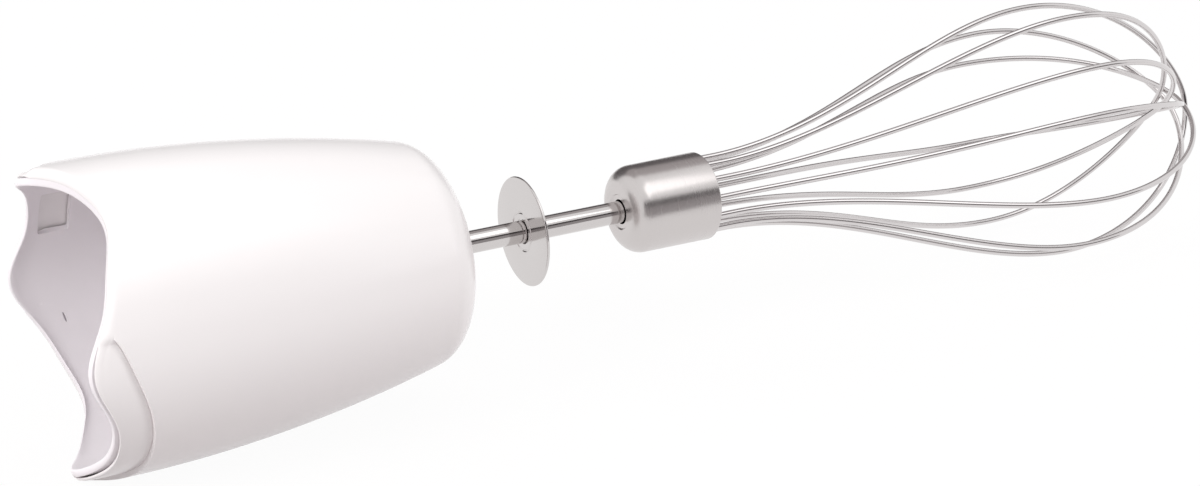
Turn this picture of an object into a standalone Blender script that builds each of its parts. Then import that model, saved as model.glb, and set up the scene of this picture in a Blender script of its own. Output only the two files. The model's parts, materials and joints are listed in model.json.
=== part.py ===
# Whisk attachment for an immersion blender: a white moulded housing that plugs onto the
# motor body, a planetary reduction inside it, and a balloon whisk of bent steel wires.
# Everything is drawn upright on the spin axis, with the mouth plane at height 0, and one
# frame then lays it down along +X. In the drawing +X is the side that ends on top and
# +Y the side that ends in front (towards -Y). Lengths are metres, angles degrees.

import math

import bmesh
import bpy
import numpy as np
from mathutils import Matrix

# Clearances, how far a cutter runs past its cut, and the meshes' weld and sharp edges
GAP = 0.0003
SLEEVE_GAP = 0.00035
CUT_PAST = 0.002
WELD = 0.000001
SHARP_ANGLE = 35.0

# Outer cover: outline from the mouth to the shoulder, which drops in radius and stands a
# little past the gear case, then the domed nose
COVER_SIDES = 48
RUN_POINTS = 7
NOSE_POINTS = 6
INSIDE_RUN_POINTS = 5
INSIDE_NOSE_POINTS = 3
OUTLINE_SAMPLES = 40
COVER_WALL = 0.0016
MOUTH_R = 0.03237
MOUTH_FLARE = 0.052
MOUTH_HANDLE = 0.0277
SHOULDER_STAND = 0.0079
SHOULDER_DROP = 0.00787
SHOULDER_TAPER = -0.246
SHOULDER_HANDLE = 0.018
NOSE_LENGTH = 0.0085
NOSE_FLAT_R = 0.00865
NOSE_FULLNESS = 0.0079
NOSE_SPRING = 0.0051

# Wavy rim of the mouth: waves of two, four and six to the turn, and how deep they fade
RIM_TWO = 0.0025
RIM_FOUR = 0.0024
RIM_SIX = -0.0005
RIM_TURN = 30.0
RIM_FADE = 0.020
RIM_ROUND = 0.0004

# Thumb scoops of the cover, behind the two shallow dips of the rim
SCOOP_TURN = 120.0
SCOOP_HALF_ANGLE = 47.0
SCOOP_LENGTH = 0.0080
SCOOP_DEPTH = 0.0007
SCOOP_STEP = 0.0009
SCOOP_LIP = 0.0010
SCOOP_EDGE = 0.16

# Inner sleeve that guides the motor body, with its seat flange and two latch windows
SLEEVE_WALL = 0.0012
SEAT_Z = 0.0410
SEAT_THICKNESS = 0.0015
SEAT_EDGE = 0.00108
SLEEVE_ROWS = (0.0, 0.12, 0.30, 0.65)
LATCH_Z = 0.0042
LATCH_LENGTH = 0.0048
LATCH_WIDTH = 0.0115
LATCH_DEPTH = 0.0048

# Gear train, as large as fits in the gear case: about module 0.8 mm
SUN_TEETH = 12
PLANET_TEETH = 18
PLANET_COUNT = 3
PRESSURE_ANGLE = 20.0
ADDENDUM = 0.80
DEDENDUM = 1.10
BACKLASH = 0.00026
GEAR_WIDTH = 0.0080
GEAR_MARGIN = 0.0010
SUN_WALL = 0.00162
RING_WALL = 0.0016

# Gear case, its lid and screws
CASE_SIDES = 36
LID_SIDES = 30
HOLE_SIDES = 12
SCREW_SIDES = 14
CASE_CLEARANCE = 0.00112
CASE_WALL = 0.0014
LID_THICKNESS = 0.0020
LID_EDGE = 0.0006
FLANGE_THICKNESS = 0.0020
SCREW_COUNT = 3
SCREW_OUT = 0.0012
SCREW_R = 0.0014
SCREW_HEAD_R = 0.0025
SCREW_HEAD_HEIGHT = 0.0018
SCREW_HEAD_ROUND = 0.0006
SCREW_LENGTH = 0.0110
SCREW_BOSS_R = 0.0025
SCREW_BOSS_END = 0.0009
SCREW_TURN = 0.0
CASE_END = 0.0018
NOSE_BOSS_R = 0.0060
NOSE_BOSS_SHY = 0.0008

# Drive side
BUSH_WALL = 0.0019
LID_HUB_WALL = 0.0025
LID_HUB_HEIGHT = 0.0048
DOG_R = 0.0060
DOG_LOBES = 6
DOG_LOBE_POINTS = 8
DOG_LOBE_DEPTH = 0.0008
DOG_LENGTH = 0.0130
DOG_TIP = 0.0022
DOG_SHAFT_DEPTH = 0.0095

# Planet carrier and pins
PIN_R = 0.0015
PIN_HEAD_R = 0.0027
PIN_HEAD = 0.0009
CARRIER_PLATE = 0.0030
CARRIER_RIM = 0.0046
HUB_R = 0.0062
HUB_LENGTH = 0.0060
WASHER_R = 0.0080
WASHER_THICKNESS = 0.0010
CROSS_PIN_R = 0.00075

# Whisk shaft, its bearing and seal
SHAFT_SIDES = 20
SHAFT_R = 0.0025
SHAFT_CHAMFER = 0.0004
NOSE_BUSH_WALL = 0.0017
SEAL_LENGTH = 0.0022
SEAL_LIP = 0.0006

# Splash disc
DISC_SIDES = 32
DISC_STAND = 0.0182
DISC_R = 0.01225
DISC_THICKNESS = 0.0006
COLLAR_R = 0.00375
COLLAR_HEIGHT = 0.0013

# Ferrule
FERRULE_STAND = 0.02415
FERRULE_LENGTH = 0.02105
FERRULE_R = 0.00990
FERRULE_FLARE = 0.00015
FERRULE_CORNER = 0.0044
FERRULE_WALL = 0.0006
FERRULE_SIDES = 32
FERRULE_CORNER_STEPS = 4
GROOVE_POINTS = 5
PLUG_SET_IN = 0.0006
SHAFT_SHY = 0.0030

# Balloon of wire loops: straight out of the ferrule, then one outline that swells to the
# widest ring and is capped at the tip. The ratios say how far along each stretch the curve
# keeps its direction at the root, before and after the widest ring, and at the tip.
WIRE_D = 0.0014
WIRE_STRAIGHT = 0.0016
ROOT_SLOPE_RATIO = -0.02
ROOT_PULL_RATIO = 0.396
SWELL_LENGTH = 0.0947
CAP_LENGTH = 0.0434
WIDE_R = 0.0303
WIDE_IN_RATIO = 0.3147
WIDE_OUT_RATIO = 0.6705
TIP_PULL_RATIO = 0.340
WIRE_TURN = -15.0
WIRE_RUN_POINTS = 7
WIRE_CAP_POINTS = 7
WIRE_BEVEL_STEPS = 1

# Each hand-bent loop's own set: how far its tip stands out, as a share of the cap's length,
# the swell of its two sides, how many degrees it has turned from its place, and how far it
# leans aside and ends aside at the tip, as shares of the widest radius
LOOP_RATIOS = (
    (0.145, 0.960, 1.020, -9.0, 0.142, -0.083),
    (-0.030, 1.050, 1.085, 6.4, -0.083, -0.112),
    (-0.104, 1.042, 1.060, -0.5, 0.013, 0.040),
    (-0.060, 0.943, 0.880, -9.9, 0.013, 0.059),
    (0.025, 1.026, 1.021, -0.1, 0.013, -0.017),
    (0.071, 1.073, 1.005, -6.5, 0.083, 0.165),
)

# Heights along the axis that follow from the sizes above
SEAT_BACK_Z = SEAT_Z + SEAT_THICKNESS
SCREW_HEAD_BACK_Z = SEAT_Z - GAP
LID_Z = SEAT_BACK_Z + GAP
LID_BACK_Z = LID_Z + LID_THICKNESS
CASE_Z = LID_BACK_Z + GAP
GEAR_Z = LID_BACK_Z + PIN_HEAD + GEAR_MARGIN + GAP
GEAR_BACK_Z = GEAR_Z + GEAR_WIDTH
CARRIER_Z = GEAR_BACK_Z + GEAR_MARGIN
HUB_Z = CARRIER_Z + CARRIER_PLATE
HUB_BACK_Z = HUB_Z + HUB_LENGTH
WASHER_Z = HUB_BACK_Z + GAP
CASE_END_Z = WASHER_Z + WASHER_THICKNESS + GAP
CASE_BACK_Z = CASE_END_Z + CASE_END
SHOULDER_Z = CASE_BACK_Z + SHOULDER_STAND
NOSE_Z = SHOULDER_Z + NOSE_LENGTH
NOSE_BOSS_Z = NOSE_Z - NOSE_BOSS_SHY
LID_HUB_Z = LID_Z - LID_HUB_HEIGHT
DOG_BACK_Z = LID_HUB_Z - GAP
DOG_Z = DOG_BACK_Z - DOG_LENGTH
DISC_Z = NOSE_Z + DISC_STAND
FERRULE_Z = DISC_Z + FERRULE_STAND
FERRULE_BACK_Z = FERRULE_Z + FERRULE_LENGTH
PLUG_Z = FERRULE_Z + FERRULE_CORNER + FERRULE_WALL
PLUG_BACK_Z = FERRULE_BACK_Z - PLUG_SET_IN
WIRE_ROOT_Z = FERRULE_BACK_Z + WIRE_STRAIGHT
WIDE_Z = WIRE_ROOT_Z + SWELL_LENGTH
TIP_Z = WIDE_Z + CAP_LENGTH

# Radii that follow from the sizes above: the cover holds the case, and the case the gears
SHOULDER_R = MOUTH_R - SHOULDER_DROP
CASE_R = SHOULDER_R - CASE_CLEARANCE
CASE_BORE_R = CASE_R - CASE_WALL
RING_R = CASE_BORE_R - GAP
RING_ROOT_R = RING_R - RING_WALL
RING_TEETH = SUN_TEETH + 2 * PLANET_TEETH
GEAR_MODULE = RING_ROOT_R / (RING_TEETH / 2 + DEDENDUM)
ORBIT_R = GEAR_MODULE * (SUN_TEETH + PLANET_TEETH) / 2
SCREW_CIRCLE_R = CASE_R + SCREW_OUT
SEAT_BORE_R = SCREW_CIRCLE_R - SCREW_HEAD_R - SEAT_EDGE
LID_R = SCREW_CIRCLE_R + SCREW_R + GAP + LID_EDGE
NOSE_HOLE_R = NOSE_BOSS_R + GAP
SHAFT_BORE_R = SHAFT_R + GAP
NOSE_BUSH_R = SHAFT_BORE_R + NOSE_BUSH_WALL
DRIVE_SHAFT_R = GEAR_MODULE * (SUN_TEETH / 2 - DEDENDUM) - SUN_WALL - GAP
BUSH_BORE_R = DRIVE_SHAFT_R + GAP
BUSH_R = BUSH_BORE_R + BUSH_WALL
LID_HUB_R = BUSH_R + GAP + LID_HUB_WALL
SLEEVE_DEPTH = COVER_WALL + SLEEVE_GAP
BORE_DEPTH = SLEEVE_DEPTH + SLEEVE_WALL
PLUG_R = FERRULE_R - FERRULE_WALL - GAP
WIRE_ROOT_R = PLUG_R - WIRE_D / 2

PARTS = "immersion_blender_whisk_attachment"


def clear_scene():
    for obj in list(bpy.data.objects):
        bpy.data.objects.remove(obj, do_unlink=True)


def new_collection(name):
    collection = bpy.data.collections.new(name)
    bpy.context.scene.collection.children.link(collection)
    return collection


def make_material(name, color, roughness, metallic):
    material = bpy.data.materials.new(name)
    material.use_nodes = True
    shader = material.node_tree.nodes["Principled BSDF"]
    shader.inputs["Base Color"].default_value = (*color, 1.0)
    shader.inputs["Roughness"].default_value = roughness
    shader.inputs["Metallic"].default_value = metallic
    material.diffuse_color = (*color, 1.0)
    return material


def add_empty(name, parent=None, location=(0, 0, 0), rotation=(0, 0, 0)):
    empty = bpy.data.objects.new(name, None)
    empty.location = location
    empty.rotation_euler = rotation
    empty.parent = parent
    parts.objects.link(empty)
    return empty


def add_object(name, data, parent, material=None, collection=None):
    obj = bpy.data.objects.new(name, data)
    if material:
        data.materials.append(material)
    obj.parent = parent
    (collection or parts).objects.link(obj)
    return obj


def as_cutter(obj):
    obj.hide_render = True
    obj.display_type = "WIRE"
    return obj


def boolean(target, tool, operation="DIFFERENCE"):
    modifier = target.modifiers.new(operation.lower(), "BOOLEAN")
    modifier.operation = operation
    modifier.solver = "EXACT"
    modifier.object = tool


def turned(name, outline, sides, parent, material=None, collection=None, closed=False):
    """Turns (radius, height) points, given down the outer side, about the axis."""
    mesh = bpy.data.meshes.new(name)
    count = len(outline)
    edges = [(i, i + 1) for i in range(count - 1)]
    if closed:
        edges.append((count - 1, 0))
    mesh.from_pydata([(r, 0, z) for r, z in outline], edges, [])
    obj = add_object(name, mesh, parent, material, collection)
    screw = obj.modifiers.new("turn", "SCREW")
    screw.axis = "Z"
    screw.steps = sides
    screw.render_steps = sides
    screw.use_merge_vertices = True
    screw.merge_threshold = WELD
    screw.use_smooth_shade = True
    return obj


def ring(name, outer_r, inner_r, low, high, parent, material):
    outline = [(outer_r, high), (outer_r, low), (inner_r, low), (inner_r, high)]
    return turned(name, outline, SHAFT_SIDES, parent, material, closed=True)


def rod_cutter(name, radius, low, high, parent, sides=HOLE_SIDES, place=(0, 0)):
    outline = [(0, high), (radius, high), (radius, low), (0, low)]
    obj = turned(name, outline, sides, parent, collection=cutters)
    obj.location = (place[0], place[1], 0)
    obj.rotation_euler = (0, 0, math.pi / sides)
    return as_cutter(obj)


def box_cutter(name, size, matrix, parent):
    mesh = bpy.data.meshes.new(name)
    bm = bmesh.new()
    bmesh.ops.create_cube(bm, size=1.0)
    bmesh.ops.scale(bm, vec=size, verts=bm.verts)
    bmesh.ops.transform(bm, matrix=matrix, verts=bm.verts)
    bm.to_mesh(mesh)
    bm.free()
    return as_cutter(add_object(name, mesh, parent, collection=cutters))


def flat_outline(name, loops, thickness, parent, material=None):
    """A flat outline with holes, extruded both ways from its middle plane."""
    curve = bpy.data.curves.new(name, "CURVE")
    curve.dimensions = "2D"
    curve.fill_mode = "BOTH"
    curve.extrude = thickness / 2
    for loop in loops:
        spline = curve.splines.new("POLY")
        spline.points.add(len(loop) - 1)
        for point, (x, y) in zip(spline.points, loop):
            point.co = (x, y, 0, 1)
        spline.use_cyclic_u = True
    return add_object(name, curve, parent, material)


def curve_to_mesh(obj, material):
    """Swaps a curve object for a welded mesh in the same place, ready to be cut."""
    bpy.context.view_layer.update()
    graph = bpy.context.evaluated_depsgraph_get()
    mesh = bpy.data.meshes.new_from_object(obj.evaluated_get(graph))
    bm = bmesh.new()
    bm.from_mesh(mesh)
    bmesh.ops.remove_doubles(bm, verts=bm.verts, dist=WELD)
    bmesh.ops.recalc_face_normals(bm, faces=bm.faces)
    bm.to_mesh(mesh)
    bm.free()
    name = obj.name
    parent = obj.parent
    matrix = obj.matrix_world.copy()
    bpy.data.objects.remove(obj, do_unlink=True)
    mesh.materials.clear()
    solid = add_object(name, mesh, parent, material)
    solid.matrix_world = matrix
    return solid


def bezier(p0, p1, p2, p3, count):
    """Points of a cubic curve, with both ends, as rows of (height, radius)."""
    t = np.linspace(0, 1, count)[:, None]
    p0, p1, p2, p3 = (np.array(p, dtype=float) for p in (p0, p1, p2, p3))
    return (1 - t) ** 3 * p0 + 3 * t * (1 - t) ** 2 * p1 + 3 * t**2 * (1 - t) * p2 + t**3 * p3


def circle_points(radius, count, start=0.0):
    step = 2 * math.pi / count
    angles = [start + i * step for i in range(count)]
    return [(radius * math.cos(angle), radius * math.sin(angle)) for angle in angles]


def smooth(x):
    x = min(max(x, 0.0), 1.0)
    return x * x * (3 - 2 * x)


def cover_outline(depth, run_points, nose_points):
    """(height, radius) points a given depth under the cover's outer surface."""
    run = bezier(
        (0, MOUTH_R),
        (MOUTH_HANDLE, MOUTH_R + MOUTH_FLARE * MOUTH_HANDLE),
        (SHOULDER_Z - SHOULDER_HANDLE, SHOULDER_R - SHOULDER_TAPER * SHOULDER_HANDLE),
        (SHOULDER_Z, SHOULDER_R),
        run_points,
    )
    nose = bezier(
        (SHOULDER_Z, SHOULDER_R),
        (SHOULDER_Z + NOSE_SPRING, SHOULDER_R + SHOULDER_TAPER * NOSE_SPRING),
        (NOSE_Z, NOSE_FLAT_R + NOSE_FULLNESS),
        (NOSE_Z, NOSE_FLAT_R),
        nose_points,
    )
    points = np.vstack([run, nose[1:]])
    along = np.gradient(points, axis=0)
    along[-1] = (0, -1)
    along /= np.linalg.norm(along, axis=1)[:, None]
    normal = np.column_stack([-along[:, 1], along[:, 0]])
    return points - depth * normal


def cover_radius(height, depth):
    """Radius of the surface a given depth under the cover's outside, short of the nose."""
    run = cover_outline(depth, OUTLINE_SAMPLES, 2)[:OUTLINE_SAMPLES]
    return float(np.interp(height, run[:, 0], run[:, 1]))


def rim_wave(angle):
    """How far the rim stands from the mouth plane, at an angle round from the top."""
    turn = math.radians(angle - RIM_TURN)
    return RIM_TWO * math.cos(2 * turn) + RIM_FOUR * math.cos(4 * turn) + RIM_SIX * math.cos(6 * turn)


def scoop_share(angle):
    """How far round from a thumb scoop's middle an angle lies: 0 there, 1 at the scoop's end."""
    across = (angle - SCOOP_TURN + 90) % 180 - 90
    return min(abs(across) / SCOOP_HALF_ANGLE, 1.0)


def shell_of_rows(name, rows, sides, parent, material):
    """Closes rows of (height, radius, scoop depth, rim step, rise) round the axis into one body.

    A row's rise is how far it climbs to follow the arch of a thumb scoop.
    """
    mesh = bpy.data.meshes.new(name)
    bm = bmesh.new()
    count = len(rows)
    bmesh.ops.create_grid(bm, x_segments=sides, y_segments=count, size=1.0)
    for vert in bm.verts:
        column = round((vert.co.x + 1) / 2 * sides)
        row = round((vert.co.y + 1) / 2 * count)
        height, radius, scoop, step, rise = rows[row % count]
        angle = 360 * (column % sides + 0.5) / sides
        share = scoop_share(angle)
        weight = smooth((1 - share) / SCOOP_EDGE)
        top = height + rise * math.sqrt(1 - share**2)
        fade = min(max(1 - top / RIM_FADE, 0.0), 1.0) ** 2
        z = top + rim_wave(angle) * fade + step * weight
        r = radius + cover_radius(top, 0) - cover_radius(height, 0) - scoop * weight
        turn = math.radians(angle)
        vert.co = (r * math.cos(turn), r * math.sin(turn), z)
    bmesh.ops.remove_doubles(bm, verts=bm.verts, dist=WELD)
    bmesh.ops.recalc_face_normals(bm, faces=bm.faces)
    bm.to_mesh(mesh)
    bm.free()
    mesh.shade_smooth()
    mesh.set_sharp_from_angle(angle=math.radians(SHARP_ANGLE))
    return add_object(name, mesh, parent, material)


def build_outer_cover(parent, material):
    outside = cover_outline(0, RUN_POINTS, NOSE_POINTS)
    inside = cover_outline(COVER_WALL, INSIDE_RUN_POINTS, INSIDE_NOSE_POINTS)
    rim_r = cover_radius(0, COVER_WALL / 2)
    rise = SCOOP_LENGTH - SCOOP_LIP
    top_edge = SCOOP_LIP + SCOOP_DEPTH
    rows = [
        (0, MOUTH_R, SCOOP_DEPTH, SCOOP_STEP, 0),
        (SCOOP_LIP, MOUTH_R + MOUTH_FLARE * SCOOP_LIP, SCOOP_DEPTH, 0, rise),
        (top_edge, MOUTH_R + MOUTH_FLARE * top_edge, 0, 0, rise),
    ]
    rows += [(z, r, 0, 0, 0) for z, r in outside[1:]]
    rows.append((NOSE_Z, NOSE_HOLE_R, 0, 0, 0))
    rows.append((NOSE_Z - COVER_WALL, NOSE_HOLE_R, 0, 0, 0))
    rows += [(z, r, 0, 0, 0) for z, r in inside[:0:-1]]
    rows.append((0, cover_radius(0, COVER_WALL), 0, SCOOP_STEP, 0))
    rows.append((-RIM_ROUND, rim_r, SCOOP_DEPTH / 2, SCOOP_STEP, 0))
    return shell_of_rows("outer_cover", rows, COVER_SIDES, parent, material)


def build_inner_sleeve(parent, material):
    heights = [SEAT_Z * share for share in SLEEVE_ROWS]
    points = [(z, cover_radius(z, SLEEVE_DEPTH)) for z in heights]
    points.append((SEAT_BACK_Z, cover_radius(SEAT_BACK_Z, SLEEVE_DEPTH)))
    points.append((SEAT_BACK_Z, SEAT_BORE_R))
    points.append((SEAT_Z, SEAT_BORE_R))
    points.append((SEAT_Z, cover_radius(SEAT_Z, BORE_DEPTH)))
    points += [(z, cover_radius(z, BORE_DEPTH)) for z in heights[::-1]]
    points.append((-RIM_ROUND, cover_radius(0, SLEEVE_DEPTH + SLEEVE_WALL / 2)))
    rows = [(z, r, 0, 0, 0) for z, r in points]
    sleeve = shell_of_rows("inner_sleeve", rows, COVER_SIDES, parent, material)
    for side in range(2):
        angle = math.radians(SCOOP_TURN + 180 * side)
        reach = cover_radius(LATCH_Z, BORE_DEPTH)
        turn = Matrix.Rotation(angle, 4, "Z")
        place = Matrix.Translation((reach, 0, LATCH_Z + LATCH_LENGTH / 2))
        size = (LATCH_DEPTH, LATCH_WIDTH, LATCH_LENGTH)
        boolean(sleeve, box_cutter(f"latch_window_{side + 1}", size, turn @ place, parent))
    cut_screw_holes(sleeve, "seat_hole", SEAT_Z - CUT_PAST, SEAT_BACK_Z + CUT_PAST, parent)


def screw_places():
    return circle_points(SCREW_CIRCLE_R, SCREW_COUNT, math.radians(SCREW_TURN))


def cut_screw_holes(target, name, low, high, parent):
    for number, place in enumerate(screw_places()):
        hole = rod_cutter(f"{name}_{number + 1}", SCREW_R + GAP, low, high, parent, place=place)
        boolean(target, hole)


def build_gear_lid(parent, material):
    bore = BUSH_R + GAP
    outline = [
        (LID_R, LID_BACK_Z),
        (LID_R, LID_Z),
        (LID_HUB_R, LID_Z),
        (LID_HUB_R, LID_HUB_Z),
        (bore, LID_HUB_Z),
        (bore, LID_BACK_Z),
    ]
    lid = turned("gear_lid", outline, LID_SIDES, parent, material, closed=True)
    cut_screw_holes(lid, "lid_hole", LID_Z - CUT_PAST, LID_BACK_Z + CUT_PAST, parent)


def build_gear_case(parent, material):
    flange_back = CASE_Z + FLANGE_THICKNESS
    flange_r = cover_radius(flange_back, COVER_WALL) - GAP
    bush_bore = NOSE_BUSH_R + GAP
    outline = [
        (NOSE_BOSS_R, NOSE_BOSS_Z),
        (NOSE_BOSS_R, CASE_BACK_Z),
        (CASE_R - CASE_WALL, CASE_BACK_Z),
        (CASE_R, CASE_BACK_Z - CASE_WALL),
        (CASE_R, flange_back),
        (flange_r, flange_back),
        (flange_r, CASE_Z),
        (CASE_BORE_R, CASE_Z),
        (CASE_BORE_R, CASE_END_Z),
        (bush_bore, CASE_END_Z),
        (bush_bore, NOSE_BOSS_Z),
    ]
    case = turned("gear_case", outline, CASE_SIDES, parent, material, closed=True)
    hole_end = SCREW_HEAD_BACK_Z + SCREW_LENGTH + GAP
    low = CASE_Z + FLANGE_THICKNESS / 2
    high = hole_end + SCREW_BOSS_END
    for number, place in enumerate(screw_places()):
        name = f"screw_boss_{number + 1}"
        boolean(case, rod_cutter(name, SCREW_BOSS_R, low, high, parent, SCREW_SIDES, place), "UNION")
    cut_screw_holes(case, "boss_hole", CASE_Z - CUT_PAST, hole_end, parent)


def build_screws(parent, material):
    head_low = SCREW_HEAD_BACK_Z - SCREW_HEAD_HEIGHT
    end = SCREW_HEAD_BACK_Z + SCREW_LENGTH
    outline = [
        (0, end),
        (SCREW_R - SHAFT_CHAMFER, end),
        (SCREW_R, end - SHAFT_CHAMFER),
        (SCREW_R, SCREW_HEAD_BACK_Z),
        (SCREW_HEAD_R, SCREW_HEAD_BACK_Z),
        (SCREW_HEAD_R, head_low + SCREW_HEAD_ROUND),
        (SCREW_HEAD_R - SCREW_HEAD_ROUND, head_low),
        (0, head_low),
    ]
    for number, place in enumerate(screw_places()):
        screw = turned(f"case_screw_{number + 1}", outline, SCREW_SIDES, parent, material)
        screw.location = (*place, 0)


def involute_angle(radius, base):
    if radius <= base:
        return 0.0
    pressure = math.acos(base / radius)
    return math.tan(pressure) - pressure


def gear_outline(teeth, tip_r, root_r, thin, phase):
    """Points of a spur gear with involute flanks; thin takes the backlash off each tooth."""
    pitch_r = GEAR_MODULE * teeth / 2
    base = pitch_r * math.cos(math.radians(PRESSURE_ANGLE))
    half_at_pitch = (math.pi * GEAR_MODULE / 2 - thin) / 2 / pitch_r
    half_at_base = half_at_pitch + involute_angle(pitch_r, base)
    levels = [root_r, pitch_r, tip_r]
    halves = [half_at_base - involute_angle(level, base) for level in levels]
    points = []
    for tooth in range(teeth):
        centre = phase + 2 * math.pi * tooth / teeth
        flank = [(level, centre - half) for level, half in zip(levels, halves)]
        flank += [(level, centre + half) for level, half in zip(levels[::-1], halves[::-1])]
        points += [(r * math.cos(a), r * math.sin(a)) for r, a in flank]
    return points


def build_ring_gear(parent, material):
    """The fixed ring: a plain outside and a hole whose spaces are gear teeth turned out."""
    pitch_r = GEAR_MODULE * RING_TEETH / 2
    tip = pitch_r - GEAR_MODULE * ADDENDUM
    half_tooth = math.pi / RING_TEETH
    spaces = gear_outline(RING_TEETH, RING_ROOT_R, tip, -BACKLASH, half_tooth)
    loops = [circle_points(RING_R, CASE_SIDES), spaces]
    gear = flat_outline("ring_gear", loops, GEAR_WIDTH, parent, material)
    gear.location = (0, 0, GEAR_Z + GEAR_WIDTH / 2)


def build_spur_gear(name, teeth, bore_r, phase, parent, material):
    pitch_r = GEAR_MODULE * teeth / 2
    tip = pitch_r + GEAR_MODULE * ADDENDUM
    root = pitch_r - GEAR_MODULE * DEDENDUM
    loops = [gear_outline(teeth, tip, root, BACKLASH, phase), circle_points(bore_r, HOLE_SIDES)]
    gear = flat_outline(name, loops, GEAR_WIDTH, parent, material)
    gear.location = (0, 0, GEAR_Z + GEAR_WIDTH / 2)
    return gear


def build_planets(parent, gear_material, pin_material):
    half_tooth = math.pi / PLANET_TEETH
    pin_end = CARRIER_Z + CARRIER_PLATE - GAP
    head_z = GEAR_Z - GAP - PIN_HEAD
    pin_outline = [
        (0, pin_end),
        (PIN_R, pin_end),
        (PIN_R, head_z + PIN_HEAD),
        (PIN_HEAD_R, head_z + PIN_HEAD),
        (PIN_HEAD_R, head_z),
        (0, head_z),
    ]
    for number in range(PLANET_COUNT):
        orbit = 2 * math.pi * number / PLANET_COUNT
        x = ORBIT_R * math.cos(orbit)
        y = ORBIT_R * math.sin(orbit)
        name = f"planet_gear_{number + 1}"
        gear = build_spur_gear(name, PLANET_TEETH, PIN_R + GAP, half_tooth, parent, gear_material)
        gear.location = (x, y, gear.location.z)
        gear.rotation_euler = (0, 0, orbit)
        pin = turned(f"planet_pin_{number + 1}", pin_outline, HOLE_SIDES, parent, pin_material)
        pin.location = (x, y, 0)


def build_carrier(parent, material):
    plate_r = ORBIT_R + CARRIER_RIM
    outline = [
        (HUB_R, HUB_BACK_Z),
        (HUB_R, HUB_Z),
        (plate_r, HUB_Z),
        (plate_r, CARRIER_Z),
        (SHAFT_BORE_R, CARRIER_Z),
        (SHAFT_BORE_R, HUB_BACK_Z),
    ]
    carrier = turned("planet_carrier", outline, LID_SIDES, parent, material, closed=True)
    for number, place in enumerate(circle_points(ORBIT_R, PLANET_COUNT)):
        low = CARRIER_Z - CUT_PAST
        high = HUB_Z + CUT_PAST
        hole = rod_cutter(f"pin_hole_{number + 1}", PIN_R + GAP, low, high, parent, place=place)
        boolean(carrier, hole)
    boolean(carrier, cross_hole("carrier_cross_hole", 2 * (HUB_R + CUT_PAST), parent))


def cross_pin_z():
    return (HUB_Z + HUB_BACK_Z) / 2


def cross_hole(name, length, parent):
    hole = rod_cutter(name, CROSS_PIN_R + GAP, -length / 2, length / 2, parent)
    hole.rotation_euler = (0, math.pi / 2, 0)
    hole.location = (0, 0, cross_pin_z())
    return hole


def build_cross_pin(parent, material):
    half = HUB_R - GAP
    outline = [(0, half), (CROSS_PIN_R, half), (CROSS_PIN_R, -half), (0, -half)]
    pin = turned("cross_pin", outline, HOLE_SIDES, parent, material)
    pin.rotation_euler = (0, math.pi / 2, 0)
    pin.location = (0, 0, cross_pin_z())


def build_drive(parent, dog_material, steel):
    """The dog that the motor turns, its shaft and the sun gear."""
    shaft_low = DOG_BACK_Z - DOG_SHAFT_DEPTH
    outline = [
        (0, GEAR_BACK_Z),
        (DRIVE_SHAFT_R, GEAR_BACK_Z),
        (DRIVE_SHAFT_R, shaft_low),
        (0, shaft_low),
    ]
    turned("drive_shaft", outline, SHAFT_SIDES, parent, steel)
    build_spur_gear("sun_gear", SUN_TEETH, BUSH_BORE_R, 0.0, parent, steel)
    lobes = []
    for step in range(DOG_LOBES * DOG_LOBE_POINTS):
        angle = 2 * math.pi * step / (DOG_LOBES * DOG_LOBE_POINTS)
        radius = DOG_R - DOG_LOBE_DEPTH * (1 - math.cos(DOG_LOBES * angle)) / 2
        lobes.append((radius * math.cos(angle), radius * math.sin(angle)))
    dog = flat_outline("drive_dog", [lobes], DOG_LENGTH, parent)
    dog.location = (0, 0, DOG_Z + DOG_LENGTH / 2)
    dog = curve_to_mesh(dog, dog_material)
    envelope = [
        (0, DOG_BACK_Z + CUT_PAST),
        (DOG_R + CUT_PAST, DOG_BACK_Z + CUT_PAST),
        (DOG_R + CUT_PAST, DOG_Z + DOG_TIP + CUT_PAST),
        (DOG_R - DOG_TIP, DOG_Z),
        (0, DOG_Z),
    ]
    tip = as_cutter(turned("dog_envelope", envelope, SHAFT_SIDES, parent, collection=cutters))
    boolean(dog, tip, "INTERSECT")
    bore_end = DOG_BACK_Z + CUT_PAST
    boolean(dog, rod_cutter("dog_bore", BUSH_BORE_R, shaft_low - GAP, bore_end, parent, SHAFT_SIDES))


def build_bearings(parent, bronze, rubber, plastic):
    ring("drive_bush", BUSH_R, BUSH_BORE_R, LID_HUB_Z + GAP, LID_BACK_Z, parent, bronze)
    seal_low = NOSE_BOSS_Z - SEAL_LENGTH
    ring("nose_bush", NOSE_BUSH_R, SHAFT_BORE_R, CASE_END_Z + GAP, seal_low - GAP, parent, bronze)
    outline = [
        (NOSE_BUSH_R, NOSE_BOSS_Z - GAP),
        (NOSE_BUSH_R, seal_low),
        (NOSE_BUSH_R - SEAL_LIP, seal_low),
        (NOSE_BUSH_R - SEAL_LIP, seal_low + SEAL_LIP),
        (SHAFT_BORE_R + SEAL_LIP, seal_low + SEAL_LIP),
        (SHAFT_BORE_R, seal_low + 2 * SEAL_LIP),
        (SHAFT_BORE_R, NOSE_BOSS_Z - GAP),
    ]
    turned("lip_seal", outline, SHAFT_SIDES, parent, rubber, closed=True)
    washer_top = WASHER_Z + WASHER_THICKNESS
    ring("thrust_washer", WASHER_R, SHAFT_BORE_R, WASHER_Z, washer_top, parent, plastic)


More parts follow.
